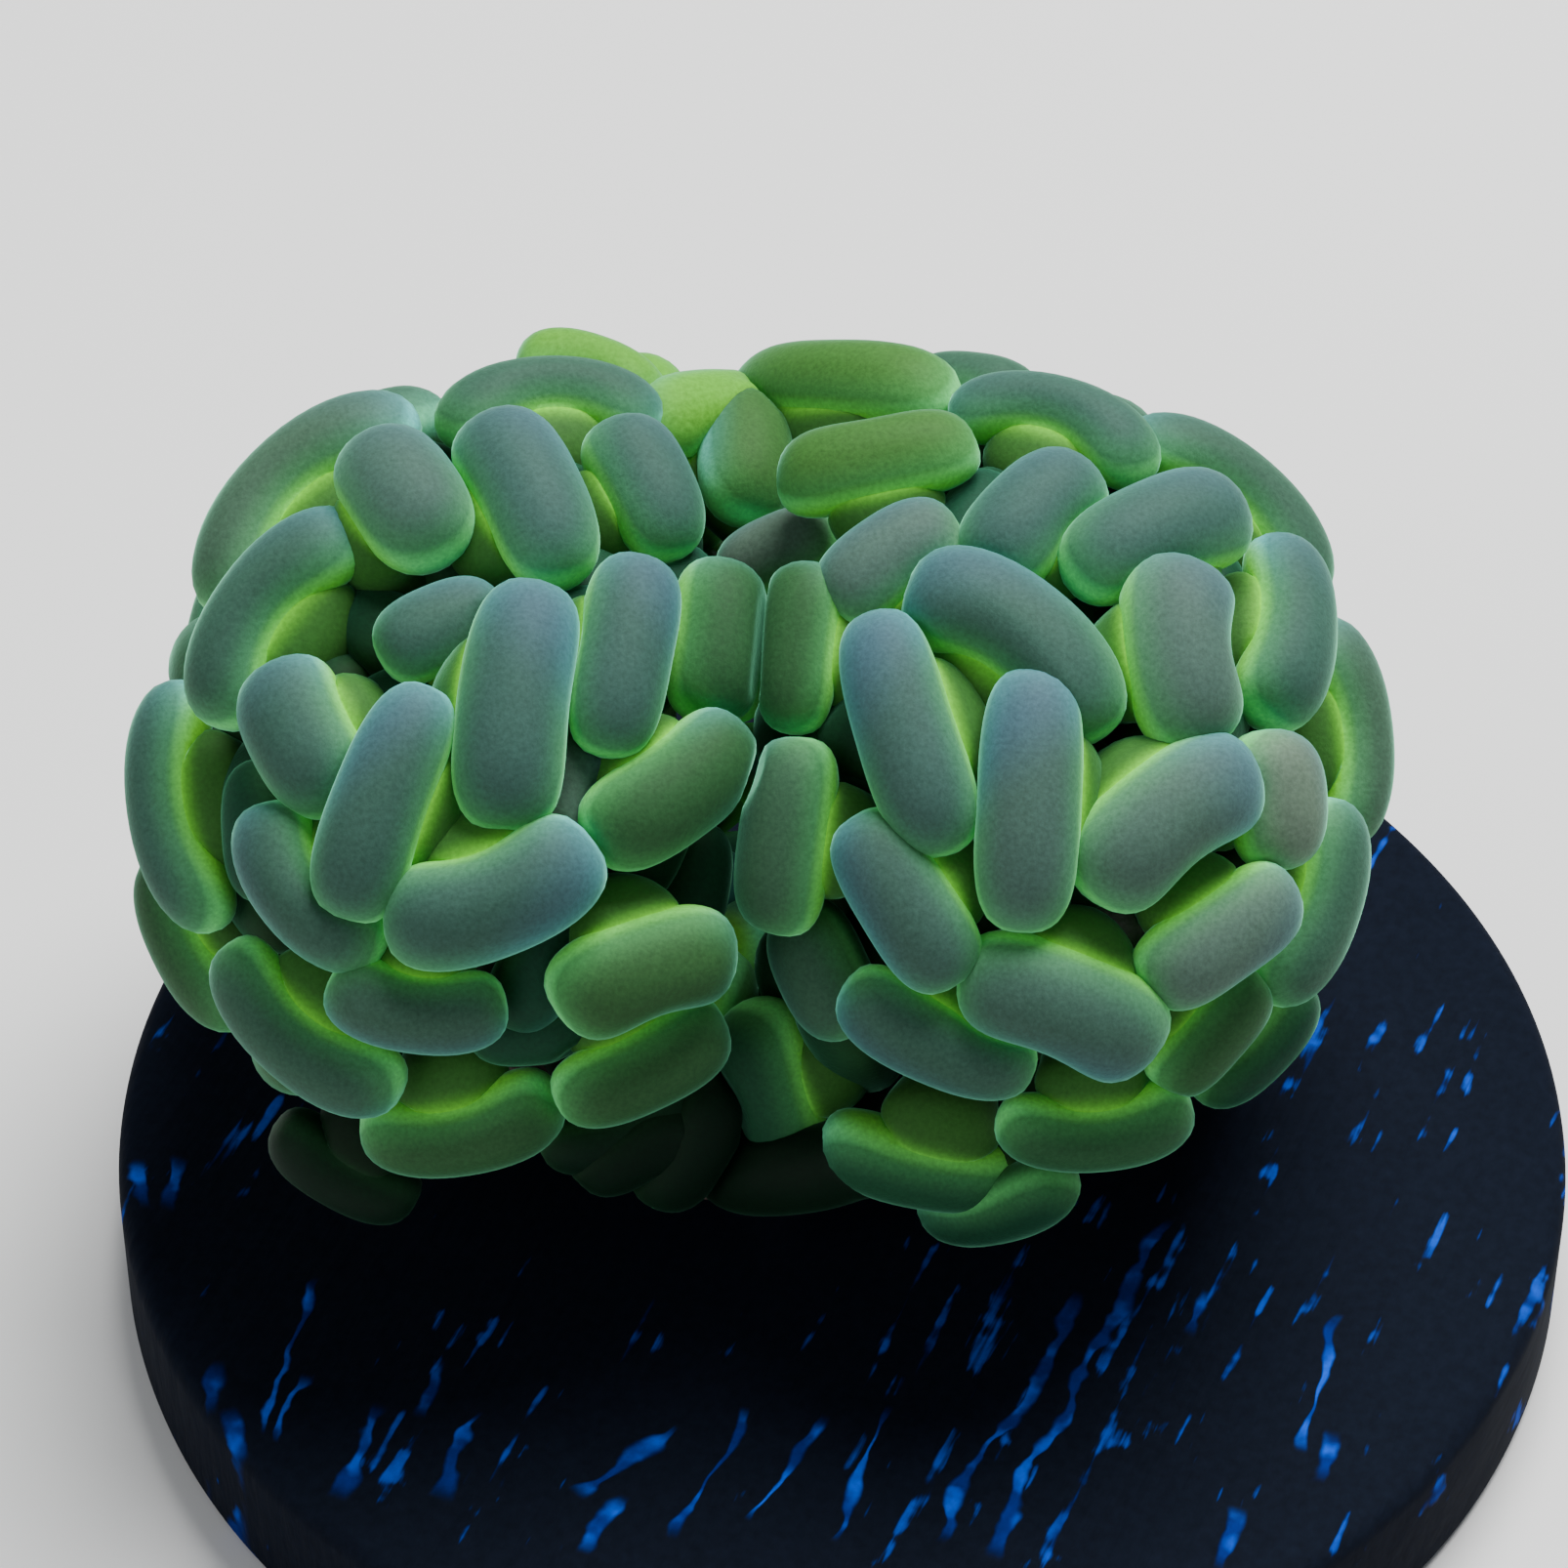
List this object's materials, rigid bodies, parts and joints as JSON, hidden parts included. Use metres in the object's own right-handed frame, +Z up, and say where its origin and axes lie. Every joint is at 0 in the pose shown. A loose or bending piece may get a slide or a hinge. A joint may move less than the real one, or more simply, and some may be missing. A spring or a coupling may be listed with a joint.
{
  "type": "hammer coral frag",
  "caption": "Branching hammer coral frag: a forked ribbed skeleton on a round disc, topped by fleshy polyps with bean-shaped tentacle heads.",
  "frame": {"origin": "middle of the disc's underside", "axes": "+Z up out of the disc, -Y towards the display side, +X to the right as seen from the display side"},
  "size_m": [0.075, 0.075, 0.0501],
  "materials": {
    "disc": "near-black rough cast disc with a pitted, streaked face and small blue flecks",
    "skeleton": "matte ribbed coral limestone, cream with patches of pink coralline crust",
    "flesh": "soft translucent tissue, grey-green and teal heads with pale mint rims and lime stalks"
  },
  "bodies": {
    "root": {"frag_disc": "disc", "skeleton_stem": "skeleton", "skeleton_branch_left": "skeleton", "skeleton_branch_right": "skeleton", "polyp_left": "flesh", "polyp_right": "flesh"}
  },
  "joints": []
}
